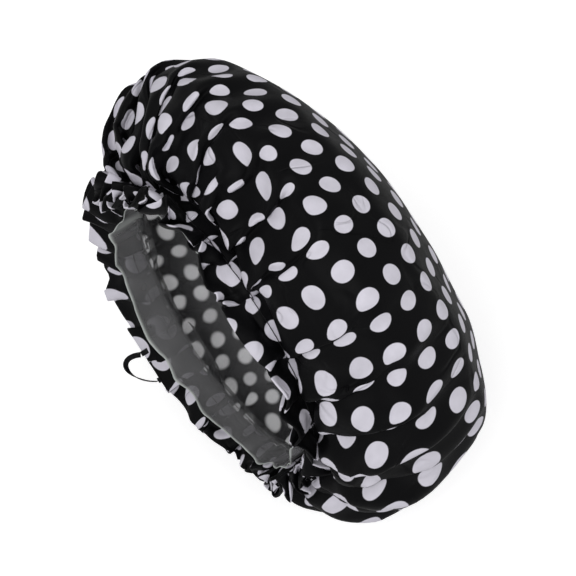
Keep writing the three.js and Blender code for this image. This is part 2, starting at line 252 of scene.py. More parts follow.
def leaning(ratio, radial, height):
    """Lean of the pleats at a radius, from the ratio that they have to hold and their height."""
    return lean_for(ratio, height * pleat_count / np.maximum(radial, MM))


# %% [markdown]
# ## The pleated ring: casing and frill
# At the mouth the cloth goes straight over the elastic and runs on, a little flared, as the frill.
# Near the sewn ends of the hanging loop the ribbon holds the frill nearly flat and close in, so the
# loop can swing past it. On the far side the frill flops outwards: two bells round the axis do that.

# %% Middle surface from the casing's crown side to the frill's edge
frill_width = 15 * MM
frill_flare = 9 * MM
ring_fold_height = 1.4 * MM
frill_fold_height = 2.4 * MM
cloth_thickness = 0.5 * MM
channel_half = neck_radius - elastic_radius + 0.4 * MM
hem_half = 0.5 * MM
loop_angle = math.radians(-60)
sway_places = np.radians([318, 4])
sway_heights = np.array([16, 13]) * MM
sway_reach = 0.4
seam_draw = 2 * MM
seam_reach = 0.24


def away_from(angle, place):
    """Difference of two angles round the axis, between minus and plus half a turn."""
    return np.arctan2(np.sin(angle - place), np.cos(angle - place))


def lobes(angle, places, heights, reach):
    """Sum of bells round the axis, each with its own place and height."""
    return np.exp(-((away_from(np.asarray(angle)[..., None], places) / reach) ** 2)) @ heights


def calm_at(angle, reach=seam_reach):
    """0 where the hanging loop is sewn on and 1 away from it: one less a flat-topped bell."""
    return 1 - np.exp(-((away_from(angle, loop_angle) / reach) ** 4))


def rim_surface(beyond, angle):
    """Middle surface at a distance past the casing's crown side: straight over the elastic, then flared
    and swayed. Its pleats keep their phase from the bag, and their height grows to the frill's edge."""
    frill = smooth_step(beyond, 2 * casing_half, 2 * casing_half + frill_width)
    past = np.clip((beyond - 2 * casing_half) / frill_width, 0, 1)
    radial = neck_radius - channel_half + (frill_flare + channel_half - hem_half) * past
    place = crowded(angle)
    calm = calm_at(place)
    height = ring_fold_height + frill * (frill_fold_height * calm - ring_fold_height)
    held = relaxed(bag_outline, bag_length + beyond)[1]
    ratio = cloth_ratio(held, radial, angle, 1.0)
    lean = leaning(ratio, radial, ring_fold_height + frill * (frill_fold_height - ring_fold_height))
    wave = np.sin(pleat_phase(angle))
    turned = place + lean * wave / pleat_count
    sway = past**1.5 * lobes(place, sway_places, sway_heights, sway_reach) * calm_at(place, 0.18)
    radial = radial + height * wave + sway - seam_draw * past * (1 - calm)
    return np.stack([casing_half - beyond + 0 * turned, radial * np.cos(turned), radial * np.sin(turned)], -1)


# %% [markdown]
# ## Puffing the bag
# The pleats give every ring its cloth, but real cloth also sags, bulges between the pleats and lies
# flat on what it rests on. Blender's cloth solver finds that: the flat disc is the rest shape, the
# pleats are the start, the sewn casing is held, the frill is free, and a little air pressure fills the
# bag. A weak pull to the start keeps the drum's outline, which paper filling gives the photographed cap.
# The crown bulges at one side and the whole bag sits a little off the axis, as in the photograph.

# %% Start shape of a gathered bag
fold_height = 2.8 * MM
pair_height = 1.2 * MM
ripple_height = 1.1 * MM
crown_swell = 24 * MM
swell_angle = math.radians(193)
swell_reach = 0.75
bag_lift = 4 * MM
lift_angle = math.radians(75)
floor_level = -mouth_centre[2]


def ripples(radius, angle):
    """Slow unevenness of the crown and the wall: two products of sines along and round the bag."""
    first = np.sin(radius / (17 * MM) + 3 * np.sin(2 * angle + 0.5)) * np.sin(7 * angle + radius / (40 * MM))
    second = np.sin(radius / (11 * MM) + 1.3) * np.sin(12 * angle + 2 * np.sin(3 * angle))
    return ripple_height * smooth_step(radius, 60 * MM, 130 * MM) * (first + 0.6 * second)


def bag_folds(outline, radius, angle, lift, size=1.0, phase_shift=0.0, full=1.0):
    """Where each point of the flat disc goes: out to the outline at its own length along it, then
    outwards by a rib as high as the ring's spare cloth asks for, up to a cap that falls towards the
    casing. What a rib can't hold makes it lean, so it turns from a rounded rib on the side into a
    folded pleat at the ring. A wave of half the count makes every second rib larger. lift is the least
    height over the floor, size scales the ribs, and full is the share of the spare cloth."""
    rim = outline[0][-1]
    axial, radial, out_axial, out_radial = on_outline(outline, radius)
    crowding = smooth_step(radius, 0.55 * rim, rim)
    spare = cloth_ratio(relaxed(outline, radius, full)[1], radial, angle, crowding) - 1
    closing = smooth_step(radius, 0.88 * rim, rim)
    phase = pleat_phase(angle) + phase_shift
    cap = fold_height + closing * (ring_fold_height - fold_height)
    height = size * np.minimum(2 * np.sqrt(spare) * radial / pleat_count, cap)
    lean = leaning(1 + spare, radial, height)
    pair = np.sin(phase / 2 + 0.7) * (1 - closing) * np.minimum(spare / 0.3, 1)
    turned = crowded(angle, crowding) + lean * np.sin(phase) / pleat_count
    out = height * (1 + 0.3 * pair) * np.sin(phase) + size * (pair_height * pair + ripples(radius, angle))
    swell = smooth_step(axial, 0.5 * equator_height, shoulder_height) * radial / shoulder_radius
    bell = np.exp(-((away_from(turned, swell_angle) / swell_reach) ** 2)) - 0.2
    place_axial = axial + out * out_axial + crown_swell * swell * bell
    place_radial = np.maximum(radial + out * out_radial, 0)
    shift = bag_lift * smooth_step(axial, casing_half, equator_height)
    sideways = place_radial * np.cos(turned) + shift * math.cos(lift_angle)
    level = np.maximum(place_radial * np.sin(turned) + shift * math.sin(lift_angle), floor_level + lift)
    return np.stack([place_axial, sideways, level], 1)


# %% Helpers that put arrays into meshes
def mesh_object(name, points, faces):
    """A mesh object at the origin from an array of points and a list of faces."""
    mesh = bpy.data.meshes.new(name)
    mesh.from_pydata(np.asarray(points, float).tolist(), [], faces)
    mesh.update()
    piece = bpy.data.objects.new(name, mesh)
    bpy.context.scene.collection.objects.link(piece)
    return piece


def read_points(mesh):
    """Points of a mesh as an array."""
    flat = np.empty(len(mesh.vertices) * 3, np.float32)
    mesh.vertices.foreach_get("co", flat)
    return flat.reshape(-1, 3).astype(float)


def weight_group(piece, name, weights):
    """A vertex group from one weight a point."""
    group = piece.vertex_groups.new(name=name)
    for weight in np.unique(weights):
        group.add(np.flatnonzero(weights == weight).tolist(), float(weight), "REPLACE")


def drape(name, start, relaxed_points, faces, hold, filled, settings, frames=24):
    """Blender's cloth solver from the start shape, with the relaxed cut as rest shape. hold is how firmly
    each point keeps its start place, filled where the air presses. Returns the last frame's points."""
    piece = mesh_object(name, start, faces)
    piece.shape_key_add(name="start")
    rest = piece.shape_key_add(name="relaxed")
    rest.data.foreach_set("co", np.asarray(relaxed_points, np.float32).ravel())
    weight_group(piece, "hold", hold)
    weight_group(piece, "filled", filled)
    cloth = piece.modifiers.new("drape", "CLOTH")
    cloth.settings.rest_shape_key = rest
    cloth.settings.vertex_group_mass = "hold"
    cloth.settings.vertex_group_pressure = "filled"
    cloth.settings.effector_weights.gravity = 0.2
    cloth.collision_settings.distance_min = 1 * MM
    for key, value in settings.items():
        target = cloth.collision_settings if hasattr(cloth.collision_settings, key) else cloth.settings
        setattr(target, key, value)
    cloth.point_cache.frame_start, cloth.point_cache.frame_end = 1, frames
    reach = 0.4
    corners = [(-reach, -reach, 0), (reach, -reach, 0), (reach, reach, 0), (-reach, reach, 0)]
    ground = mesh_object("ground_for_" + name, corners, [(0, 1, 2, 3)])
    ground.modifiers.new("stop", "COLLISION")
    ground.collision.thickness_outer = 1 * MM
    scene = bpy.context.scene
    for number in range(1, frames + 1):
        scene.frame_set(number)
    seen = piece.evaluated_get(bpy.context.evaluated_depsgraph_get()).to_mesh()
    points = read_points(seen)
    bpy.data.objects.remove(piece)
    bpy.data.objects.remove(ground)
    scene.frame_set(1)
    return points


# %% [markdown]
# Air pressure rounds the bag more than the photograph shows, so after the simulation each ring is
# shifted and scaled as a whole until its mean lies on the outline again. That keeps every fold the
# solver found. The bag's two ends are drawn in a little more, and its underside lies on the floor.

# %% The outline that the simulated rings are brought back to
end_places = np.radians([20, 218])
end_draws = np.array([6, 3]) * MM
end_reach = 0.5


def ring_means(values, counts):
    """Mean of a value over each ring of a disc, the centre first."""
    starts = np.concatenate([[0, 1], 1 + np.cumsum(counts[:-1])])
    return np.add.reduceat(values, starts) / np.concatenate([[1], counts])


def smoothed(values, width=5):
    """Running mean of a row of values, its ends held."""
    padded = np.pad(values, width // 2, mode="edge")
    return np.convolve(padded, np.ones(width) / width, mode="valid")


def pull_to_outline(points, outline, radii, counts, lift):
    """Shifts each ring along the axis and scales it about the axis so that its mean lies on the outline,
    draws the side in at its two ends, and lays what is under the floor's level flat on it."""
    axial, radial, _, _ = on_outline(outline, np.concatenate([[0], radii]))
    reach = np.hypot(points[:, 1], points[:, 2])
    every = np.concatenate([[1], counts])
    shift = smoothed(axial - ring_means(points[:, 0], counts))
    growth = smoothed(np.concatenate([[1], radial[1:] / ring_means(reach, counts)[1:]]))
    shift[-1], growth[-1] = 0, 1
    moved = points.copy()
    moved[:, 0] += np.repeat(shift, every)
    moved[:, 1:] *= np.repeat(growth, every)[:, None]
    length, rim = np.repeat(np.concatenate([[0], radii]), every), radii[-1]
    draw = smooth_step(length, 0.5 * rim, 0.7 * rim) * (1 - smooth_step(length, 0.85 * rim, rim))
    draw = draw * lobes(np.arctan2(moved[:, 2], moved[:, 1]), end_places, end_draws, end_reach)
    moved[:, 1:] *= (1 - draw / bag_radius)[:, None]
    return lie_flat(moved, lift)


def lie_flat(points, lift, soft=5 * MM):
    """Points below soft over the floor sink towards lift over it and never reach it: an exponential."""
    floor_now = floor_level + lift
    height = points[:, 2] - floor_now
    low = np.minimum(height, soft)
    points[:, 2] = floor_now + np.where(height < soft, soft * np.exp(low / soft - 1), height)
    return points


# %% [markdown]
# The crown and the shoulder are held at their start place, because the paper filling supports them
# there. Past them the hold fades, so that the side settles under its own folds. The cloth keeps a
# distance from itself, or its pleats would pass through each other.

# %% Bag, casing and frill in one simulation
held_length = 172 * MM
hold_fade = 50 * MM
least_hold = 0.02
cloth_settings = dict(
    quality=6, mass=0.002, tension_stiffness=40, compression_stiffness=20, shear_stiffness=8,
    bending_stiffness=0.03, bending_damping=0.5, use_pressure=True, uniform_pressure_force=2,
    pin_stiffness=1, use_self_collision=True, self_distance_min=1.6 * MM,
)
casing_rows = 2 * casing_half * np.linspace(0, 1, 4)[1:]
frill_rows = 2 * casing_half + frill_width * np.linspace(0, 1, 6)[1:]
ring_rows = np.concatenate([casing_rows, frill_rows])


def drape_bag(name, outline, settings, lift, rows, surface, hold_free, **folds):
    """A simulated bag on an outline with rows past it: disc rings and faces, start shape, simulation and
    the pull back. surface gives the rows past the bag, and hold_free how firmly those past the casing are
    held. Returns the points, the bag's ring radii and point counts, and the flat angles of all points."""
    radii, counts = ring_table(outline[0][-1])
    radius, angle = disc_grid(radii, counts)
    start = bag_folds(outline, radius, angle, lift, **folds)
    round_angle = np.arange(outer_columns) * 2 * math.pi / outer_columns
    past = surface(rows[:, None], round_angle[None])
    bag_size = len(start)
    start = np.concatenate([start, past.reshape(-1, 3)])
    radius = np.concatenate([radius, np.repeat(outline[0][-1] + rows, outer_columns)])
    angle = np.concatenate([angle, np.tile(round_angle, len(rows))])
    counts_all = np.concatenate([counts, np.full(len(rows), outer_columns)])
    place, reach = relaxed(outline, radius, folds.get("full", 1.0))
    rest = np.stack([place, reach * np.cos(angle), reach * np.sin(angle)], 1)
    beyond = radius - outline[0][-1]
    firm = 1 - smooth_step(radius, held_length, held_length + hold_fade)
    hold = (least_hold + (1 - least_hold) * firm**3).round(2)
    hold = np.where(beyond > -1 * MM, 1.0, hold)
    loose = 1 - (1 - hold_free) * calm_at(crowded(angle)).round(1)
    hold = np.where(beyond > 2 * casing_half + 1 * MM, loose, hold)
    filled = (beyond < 0).astype(float)
    draped = drape(name, start + mouth_centre, rest, disc_faces(counts_all), hold, filled, settings)
    draped = draped - mouth_centre
    print(name, "moved by", round(np.linalg.norm(draped - start, axis=1).mean() / MM, 1), "mm on average")
    start = draped
    start[:bag_size] = pull_to_outline(start[:bag_size], outline, radii, counts, lift)
    return start, radii, counts, angle


draped, bag_radii, bag_counts, bag_angle = drape_bag(
    "dotted_bag_drape", bag_outline, cloth_settings, 0.4 * MM, ring_rows, rim_surface, 0.04
)
bag_size = 1 + bag_counts.sum()
bag, ring_middle = draped[:bag_size], draped[bag_size:].reshape(len(ring_rows), outer_columns, 3)
bag_angle = bag_angle[:bag_size]
edge_reach = np.hypot(*ring_middle[-1, :, 1:].T).min()
print("frill's edge lies", (edge_reach / MM).round(1), "mm from the axis at least")

# %% [markdown]
# ## Two layers: casing, frill and hem
# The cloth goes over the elastic, runs on as a frill, turns in at the frill's edge and comes back under
# the elastic, where the stitching catches its raw edge. Both layers are cut from the one simulated
# surface, each moved off it along its own normal, so they wave together and never touch. Over the
# elastic the two part, which leaves the elastic its channel.

# %% Rows round the frill's edge and back to the raw edge
frill_clear_radius = 88.5 * MM
layer_clearance = 0.6 * MM


def keep_clear(rows, least):
    """Moves points that are nearer to the axis than the least radius out to it, with a soft turn."""
    reach = np.hypot(rows[..., 1], rows[..., 2])
    soft = 2 * MM
    room = np.minimum(reach - least, soft)
    kept = np.where(reach < least + soft, least + soft * np.exp(room / soft - 1), reach)
    rows[..., 1:] *= (kept / reach)[..., None]
    return rows


def grid_normals(points):
    """Unit normals of a grid of rows and closed columns, from the cross product of its two directions."""
    along = np.gradient(points, axis=0)
    around = np.roll(points, -1, axis=1) - np.roll(points, 1, axis=1)
    normal = np.cross(along, around)
    return normal / np.linalg.norm(normal, axis=-1, keepdims=True)


def casing_layer(middle, normal, half, side):
    """One layer of the casing: the middle surface moved along its normal, then off the elastic, out past
    its outer face or in past its inner face, by a clearance either way."""
    layer = middle + side * half * normal
    reach = np.hypot(layer[..., 1], layer[..., 2])
    outer, inner = elastic_radius + layer_clearance, elastic_radius - elastic_depth - layer_clearance
    kept = np.maximum(reach, outer) if side > 0 else np.minimum(reach, inner)
    layer[..., 1:] *= (kept / reach)[..., None]
    return layer


def rim_rows():
    """Rows from the casing to the frill's edge, round the turn and back to the raw edge, with each row's
    radius on the flat disc. The turn is a half circle from one layer to the other."""
    beyond = np.concatenate([[0], ring_rows])
    middle = np.concatenate([bag[-outer_columns:][None], keep_clear(ring_middle, frill_clear_radius)])
    normal = grid_normals(middle)
    opening = smooth_step(beyond, 2 * casing_half - 2 * MM, 2 * casing_half + 0.6 * frill_width)
    half = channel_half + opening * (hem_half - channel_half)
    outside = middle + normal * half[:, None, None]
    inside = middle - normal * half[:, None, None]
    sewn = beyond < 2 * casing_half + 1 * MM
    for layer, side in ((outside, 1), (inside, -1)):
        layer[sewn] = casing_layer(middle[sewn], normal[sewn], half[sewn, None, None], side)
    forward = middle[-1] - middle[-2]
    forward = forward / np.linalg.norm(forward, axis=-1, keepdims=True)
    turns = np.linspace(0, math.pi, 5)[1:-1, None, None]
    turn = middle[-1] + hem_half * (np.cos(turns) * normal[-1] + 1.4 * np.sin(turns) * forward)
    rows = np.concatenate([outside, turn, inside[::-1][:-1]])
    edge = bag_length + beyond[-1]
    across = edge + np.arange(1, 4) * math.pi * hem_half / 4
    back = edge + math.pi * hem_half + (beyond[-1] - beyond[::-1])
    flat_radius = np.concatenate([bag_length + beyond, across, back[:-1]])
    return rows[1:], flat_radius[1:], np.arange(outer_columns) * 2 * math.pi / outer_columns


rim, rim_radius, rim_angle = rim_rows()

# %% One cloth from the crown's centre to the raw edge
cloth_counts = np.concatenate([bag_counts, np.full(len(rim), outer_columns)])
cloth_points = np.concatenate([bag, rim.reshape(-1, 3)]) + mouth_centre
cloth_radius = np.concatenate([[0], np.repeat(bag_radii, bag_counts), np.repeat(rim_radius, outer_columns)])
cloth_angle = np.concatenate([bag_angle, np.tile(rim_angle, len(rim))])


def map_cut(piece, radius, angle, turn=0.0):
    """UV map "cut": each point's place on the flat disc, in metres from the disc's centre. turn is how
    far the printed lattice is turned on the disc."""
    angle = angle + turn
    corners = np.empty(len(piece.data.loops), np.int32)
    piece.data.loops.foreach_get("vertex_index", corners)
    flat = np.stack([radius * np.cos(angle), radius * np.sin(angle)], 1)[corners]
    layer = piece.data.uv_layers.new(name="cut")
    layer.data.foreach_set("uv", flat.astype(np.float32).ravel())


def finish_sheet(piece, thickness, outside, reverse):
    """Smooth shading, one subdivision and a wall: the outer face and the inner face have their own finish."""
    piece.data.polygons.foreach_set("use_smooth", np.ones(len(piece.data.polygons), bool))
    fine = piece.modifiers.new("finer", "SUBSURF")
    fine.levels = fine.render_levels = 1
    wall = piece.modifiers.new("wall", "SOLIDIFY")
    wall.thickness, wall.offset, wall.use_even_offset = thickness, 0, False
    wall.material_offset = 1
    piece.data.materials.append(outside)
    piece.data.materials.append(reverse)


# %% [markdown]
# ## The waterproof film
# The film is its own disc of clear plastic, cut a little smaller and sewn in with the cloth. It hangs
# inside the deepest folds of the cloth, so its outline is the bag's, moved in by as far as those
# folds reach. Its rim passes under the hem and ends in a free, crinkled edge that leans into the mouth.
# Where a single fold reaches deeper than that, the film is drawn back to a chart of the cloth's least
# distances, which costs far less than a collision between two moving sheets.

# %% How far the cloth's folds reach inwards, and the film's outline inside them
def inward_reach(points, outline, radii, counts):
    """Deepest place of each ring below the outline: the largest distance against the outline's normal."""
    axial, radial, out_axial, out_radial = on_outline(outline, np.concatenate([[0], radii]))
    every = np.concatenate([[1], counts])
    off_axial = points[:, 0] - np.repeat(axial, every)
    off_radial = np.hypot(points[:, 1], points[:, 2]) - np.repeat(radial, every)
    depth = -(off_axial * np.repeat(out_axial, every) + off_radial * np.repeat(out_radial, every))
    starts = np.concatenate([[0, 1], 1 + np.cumsum(counts[:-1])])
    return np.maximum.reduceat(depth, starts)


film_gap = 1.6 * MM
film_full_share = 0.6
film_casing_radius = 85.2 * MM
reach_in = inward_reach(bag, bag_outline, bag_radii, bag_counts)
print("the cloth's folds reach in by", (reach_in[::8] / MM).round(1), "mm")


def film_meridian():
    """The bag's outline moved in by the folds' smoothed depth and the gap, ending at the casing."""
    along = np.concatenate([[0], bag_radii])
    axial, radial, out_axial, out_radial = on_outline(bag_outline, along)
    depth = smoothed(np.clip(reach_in, 1 * MM, 12 * MM), 7) + film_gap
    inner = np.stack([axial - depth * out_axial, np.maximum(radial - depth * out_radial, 0)], 1)
    inner = inner[inner[:, 0] > casing_half + 3 * MM]
    return np.concatenate([inner, [[casing_half, film_casing_radius]]])


film_outline = outline_of(film_meridian())
film_length = film_outline[0][-1]
film_edge_width = 10.5 * MM
film_edge_lean = 0.5 * MM
film_edge_shift = 9 * MM
near_side = math.radians(115)
flap_angle = math.radians(5)
film_thickness = 0.25 * MM
film_settings = dict(
    cloth_settings, bending_stiffness=0.01, use_self_collision=False, uniform_pressure_force=1
)
film_rows = np.concatenate([casing_rows, 2 * casing_half + film_edge_width * np.linspace(0, 1, 6)[1:]])


def film_rim(beyond, angle):
    """Past the casing's crown side the film leans inwards, with crinkles that grow to its free edge."""
    free = np.clip((beyond - 2 * casing_half) / film_edge_width, 0, 1)
    place = crowded(angle)
    radial = film_casing_radius - film_edge_lean * free + 0 * angle
    turned = place + 0.25 * np.sin(pleat_phase(angle)) / pleat_count
    slow = np.sin(9 * place + 2 * np.sin(2 * place))
    fine = np.sin(41 * place + 3 * np.sin(7 * place)) * (0.6 + 0.4 * np.sin(11 * place))
    radial = radial + free**2 * (1.5 * MM * slow + 0.7 * MM * fine) + 0.3 * MM * np.sin(pleat_phase(angle))
    tip = film_edge_shift * (0.5 + 0.5 * np.cos(place - near_side)) + 1.2 * MM * np.sin(3 * place + 0.4)
    tip = tip - 4 * MM * np.exp(-((away_from(place, flap_angle) / 0.35) ** 2))
    tip = free * (tip + 1.6 * MM * np.cos(13 * place + 1.7 * np.sin(5 * place)))
    return np.stack([casing_half - beyond + tip, radial * np.cos(turned), radial * np.sin(turned)], -1)


def inside_of(points, cloth, gap):
    """Draws points back towards the bag's middle so that they stay the gap inside the cloth. The cloth's
    least distance from the middle is kept on a chart of directions: 48 bands from the crown to the mouth
    by 120 sectors round the axis, each with the least of its neighbours."""
    middle = np.array([40 * MM, 0, 0])

    def chart_place(points):
        off = points - middle
        reach = np.linalg.norm(off, axis=1)
        band = np.arccos(np.clip(off[:, 0] / reach, -1, 1)) / math.pi * 47
        sector = np.arctan2(off[:, 2], off[:, 1]) / (2 * math.pi) % 1 * 120
        return reach, band, sector

    reach, band, sector = chart_place(cloth)
    chart = np.full((48, 120), np.inf)
    np.minimum.at(chart, (band.round().astype(int), sector.round().astype(int) % 120), reach)
    for axis in (0, 1):
        chart = np.minimum(chart, np.minimum(np.roll(chart, 1, axis), np.roll(chart, -1, axis)))
    reach, band, sector = chart_place(points)
    low_band, low_sector = np.floor(band).astype(int), np.floor(sector).astype(int)
    share_band, share_sector = band - low_band, sector - low_sector
    limit = 0
    for step_band, weight_band in ((0, 1 - share_band), (1, share_band)):
        for step_sector, weight_sector in ((0, 1 - share_sector), (1, share_sector)):
            value = chart[np.minimum(low_band + step_band, 47), (low_sector + step_sector) % 120]
            limit = limit + weight_band * weight_sector * np.minimum(value, 1.0)
    kept = np.minimum(reach, limit - gap)
    return middle + (points - middle) * (kept / reach)[:, None]


film_points, film_radii, film_counts, film_all_angle = drape_bag(
    "film_drape", film_outline, film_settings, 2.4 * MM, film_rows, film_rim, 0.2,
    size=0.35, phase_shift=1.0, full=film_full_share,
)
film_in_bag = 1 + film_counts.sum() - 2 * outer_columns
film_points[:film_in_bag] = inside_of(film_points[:film_in_bag], bag, film_gap)
film_points = film_points + mouth_centre
film_cut_radius = film_length + film_rows[-1]
film_all_counts = np.concatenate([film_counts, np.full(len(film_rows), outer_columns)])
film_all_radius = np.concatenate(
    [[0], np.repeat(film_radii, film_counts), np.repeat(film_length + film_rows, outer_columns)]
)
print("film cut radius", round(film_cut_radius / MM, 1), "mm")

# %% [markdown]
# ## Materials
# Every finish is worked out from numbers: no picture is read. What two materials share is a node
# group. A node's inputs are set or linked where it is made, so that a finish reads as a few formulas.

# %% Node helpers
def new_material(name):
    """A material with nodes, its tree and its Principled shader."""
    material = bpy.data.materials.new(name)
    material.use_nodes = True
    return material, material.node_tree, material.node_tree.nodes["Principled BSDF"]


def feed(tree, node, **values):
    """Sets a node's properties and inputs: in0, in1 and so on are inputs by number, other words are
    inputs by name. A value that is a pair (node, output) becomes a link."""
    for key, value in values.items():
        if hasattr(node, key):
            setattr(node, key, value)
            continue
        entry = node.inputs[int(key[2:]) if key[2:].isdigit() else key.replace("_", " ")]
        if isinstance(value, tuple) and isinstance(value[0], bpy.types.Node):
            tree.links.new(value[0].outputs[value[1]], entry)
        else:
            entry.default_value = value
    return node


def add_node(tree, kind, **values):
    """A new node of a kind, fed."""
    return feed(tree, tree.nodes.new("ShaderNode" + kind), **values)


def maths(tree, operation, *terms, **values):
    """A Math node on terms that are numbers or outputs. Returns its output."""
    entries = {f"in{number}": term for number, term in enumerate(terms)}
    return add_node(tree, "Math", operation=operation, **entries, **values), 0


def ranged(tree, source, old, new, kind="LINEAR"):
    """A Map Range node from the old pair of limits to the new one. Returns its output."""
    node = add_node(tree, "MapRange", interpolation_type=kind, Value=source, From_Min=old[0], From_Max=old[1])
    return feed(tree, node, To_Min=new[0], To_Max=new[1]), 0


def new_group(name, inputs, outputs):
    """A shader node group: inputs are (name, socket kind, value), and the outputs are named numbers."""
    group = bpy.data.node_groups.new(name, "ShaderNodeTree")
    for label, kind, value in inputs:
        socket = group.interface.new_socket(label, in_out="INPUT", socket_type="NodeSocket" + kind)
        if value is not None:
            socket.default_value = value
    for label in outputs:
        group.interface.new_socket(label, in_out="OUTPUT", socket_type="NodeSocketFloat")
    return group, group.nodes.new("NodeGroupInput"), group.nodes.new("NodeGroupOutput")


def use_group(tree, group, **values):
    """The group as a node in a material, fed with that material's own values."""
    node = tree.nodes.new("ShaderNodeGroup")
    node.node_tree = group
    return feed(tree, node, **values)


# %% [markdown]
# The dots are a distance to the nearest point of a square lattice on the flat cut, so they stay round
# on the cloth, and a fold hides part of a dot as it does on the real print. On the reverse the same
# dots show blurred, because the ink soaks through and the threads scatter it.

# %% Group: polka dots on the flat cut
dot_pitch = 18.8 * MM
dot_radius_share = 0.3


def make_dots_group():
    """Mask of the dots: 1 where the distance to the nearest lattice point is under the dot's radius."""
    group, given, result = new_group(
        "polka_dots",
        [("Cut", "Vector", None), ("Radius share", "Float", dot_radius_share), ("Soft share", "Float", 0.01)],
        ["Mask"],
    )
    pitches = (dot_pitch, dot_pitch, 1)
    scaled = add_node(group, "VectorMath", operation="DIVIDE", in0=(given, "Cut"), in1=pitches)
    wrapped = add_node(group, "VectorMath", operation="WRAP", in0=(scaled, 0))
    feed(group, wrapped, in1=(0.5,) * 3, in2=(-0.5,) * 3)
    far = add_node(group, "VectorMath", operation="LENGTH", in0=(wrapped, 0)), "Value"
    shares = (given, "Radius share"), (given, "Soft share")
    rim = maths(group, "ADD", *shares), maths(group, "SUBTRACT", *shares)
    feed(group, result, Mask=ranged(group, far, rim, (0, 1), "SMOOTHSTEP"))
    return group


# %% [markdown]
# Satin and ribbon are woven, and the elastic is knitted: fine crossed waves with slow noise over them
# give all three their grain. The satin was also folded flat in its packet, and the thin creases left
# by that catch the light. They are too fine for the mesh, so they are a bump: noise is close to its
# middle value along thin winding lines, which a second noise breaks up.

# %% Groups: woven threads and fine creases
def make_weave_group():
    """Two sets of fine waves at right angles on the given coordinates, and slow noise over them."""
    group, given, result = new_group(
        "fine_weave",
        [("Place", "Vector", None), ("Threads per metre", "Float", 2500.0), ("Slub", "Float", 0.4)],
        ["Height", "Tone"],
    )
    scaled = add_node(group, "VectorMath", operation="SCALE", in0=(given, "Place"))
    feed(group, scaled, Scale=(given, "Threads per metre"))
    parts = add_node(group, "SeparateXYZ", in0=(scaled, 0))
    waves = [maths(group, "SINE", maths(group, "MULTIPLY", (parts, axis), 2 * math.pi)) for axis in "XY"]
    noise = add_node(group, "TexNoise", Scale=0.06, Detail=4.0, Vector=(scaled, 0)), "Fac"
    uneven = maths(group, "MULTIPLY", noise, (given, "Slub"))
    height = maths(group, "ADD", maths(group, "MULTIPLY", *waves), uneven)
    feed(group, result, Height=height, Tone=noise)
    return group


def make_crease_group():
    """Thin lines where a noise passes its middle value, broken up by a second noise: -1 at the bottom of
    a line and 0 beside it, with a slow swell added."""
    group, given, result = new_group(
        "fine_creases",
        [("Place", "Vector", None), ("Creases per metre", "Float", 20.0), ("Width share", "Float", 0.05),
         ("Swell", "Float", 1.0)],
        ["Height"],
    )
    place = given, "Place"
    lines = add_node(group, "TexNoise", Detail=1.0, Distortion=0.8, Vector=place), "Fac"
    feed(group, lines[0], Scale=(given, "Creases per metre"))
    breaks = add_node(group, "TexNoise", Scale=31.0, Detail=0.0, Vector=place), "Fac"
    away = maths(group, "ABSOLUTE", maths(group, "SUBTRACT", lines, 0.5))
    line = ranged(group, away, (0, (given, "Width share")), (-1, 0), "SMOOTHSTEP")
    keep = ranged(group, breaks, (0.45, 0.6), (0, 1), "SMOOTHSTEP")
    swell = maths(group, "MULTIPLY", lines, (given, "Swell"))
    feed(group, result, Height=maths(group, "ADD", maths(group, "MULTIPLY", line, keep), swell))
    return group


dots_group = make_dots_group()
crease_group = make_crease_group()
weave_group = make_weave_group()

# %% [markdown]
# Both faces of the cloth are one recipe with other values. Outside, the ground is nearly black and the
# dots are crisp. Inside the bag the dots let some daylight through from the other side. That light is
# painted: a weak glow in their mask gives it without thinning the wall, and their print on this face is
# lighter than the outside print, partly for the same light. The glow stops short of the casing, where the
# cloth is double.

# %% Materials: dotted satin, outside and reverse
def satin(name, ground, print_colour, roughness, soft, painted_glow=0.0):
    """Woven satin with a printed lattice of dots, both read from the flat cut. soft is the dots' blur as a
    share of the pitch, and the last argument is the strength of a painted glow of the dots inside the bag,
    which stands for daylight through them."""
    material, tree, shader = new_material(name)
    cut = add_node(tree, "UVMap", uv_map="cut"), 0
    dots = use_group(tree, dots_group, Cut=cut, Radius_share=dot_radius_share, Soft_share=soft), "Mask"
    weave = use_group(tree, weave_group, Place=cut, Threads_per_metre=2600.0, Slub=0.5)
    tone = weave, "Tone"
    paint = add_node(tree, "Mix", data_type="RGBA", in0=dots, in6=(*ground, 1), in7=(*print_colour, 1))
    toned = add_node(tree, "VectorMath", operation="SCALE", in0=(paint, 2))
    feed(tree, toned, Scale=ranged(tree, tone, (0, 1), (0.85, 1.12)))
    creases = use_group(tree, crease_group, Place=cut, Creases_per_metre=26.0, Width_share=0.035, Swell=4.0)
    folds = add_node(tree, "Bump", Strength=0.8, Distance=0.8 * MM, Height=(creases, "Height"))
    grain = add_node(tree, "Bump", Strength=0.25, Distance=0.05 * MM, Height=(weave, "Height"))
    feed(tree, grain, Normal=(folds, 0))
    # Painted light: inside the bag, short of the double cloth at the casing, the dots glow by the last
    # argument's strength, standing for daylight through them.
    far = add_node(tree, "VectorMath", operation="LENGTH", in0=cut), "Value"
    within = maths(tree, "LESS_THAN", far, bag_length - 2 * casing_half)
    feed(
        tree, shader, Base_Color=(toned, 0), Normal=(grain, 0), Specular_IOR_Level=0.06,
        Roughness=ranged(tree, tone, (0, 1), (roughness - 0.06, roughness + 0.1)),
        Emission_Color=maths(tree, "MULTIPLY", within, dots), Emission_Strength=painted_glow,
    )
    return material


satin_outside = satin("dotted_satin", (0.0032, 0.0032, 0.0037), (0.63, 0.61, 0.68), 0.5, 0.012)
# The reverse print is lighter than the outside print and glows: partly the dots' own white, partly painted
# light standing for daylight through them.
satin_reverse = satin("dotted_satin_reverse", (0.008, 0.008, 0.009), (0.86, 0.85, 0.92), 0.6, 0.08, 0.42)
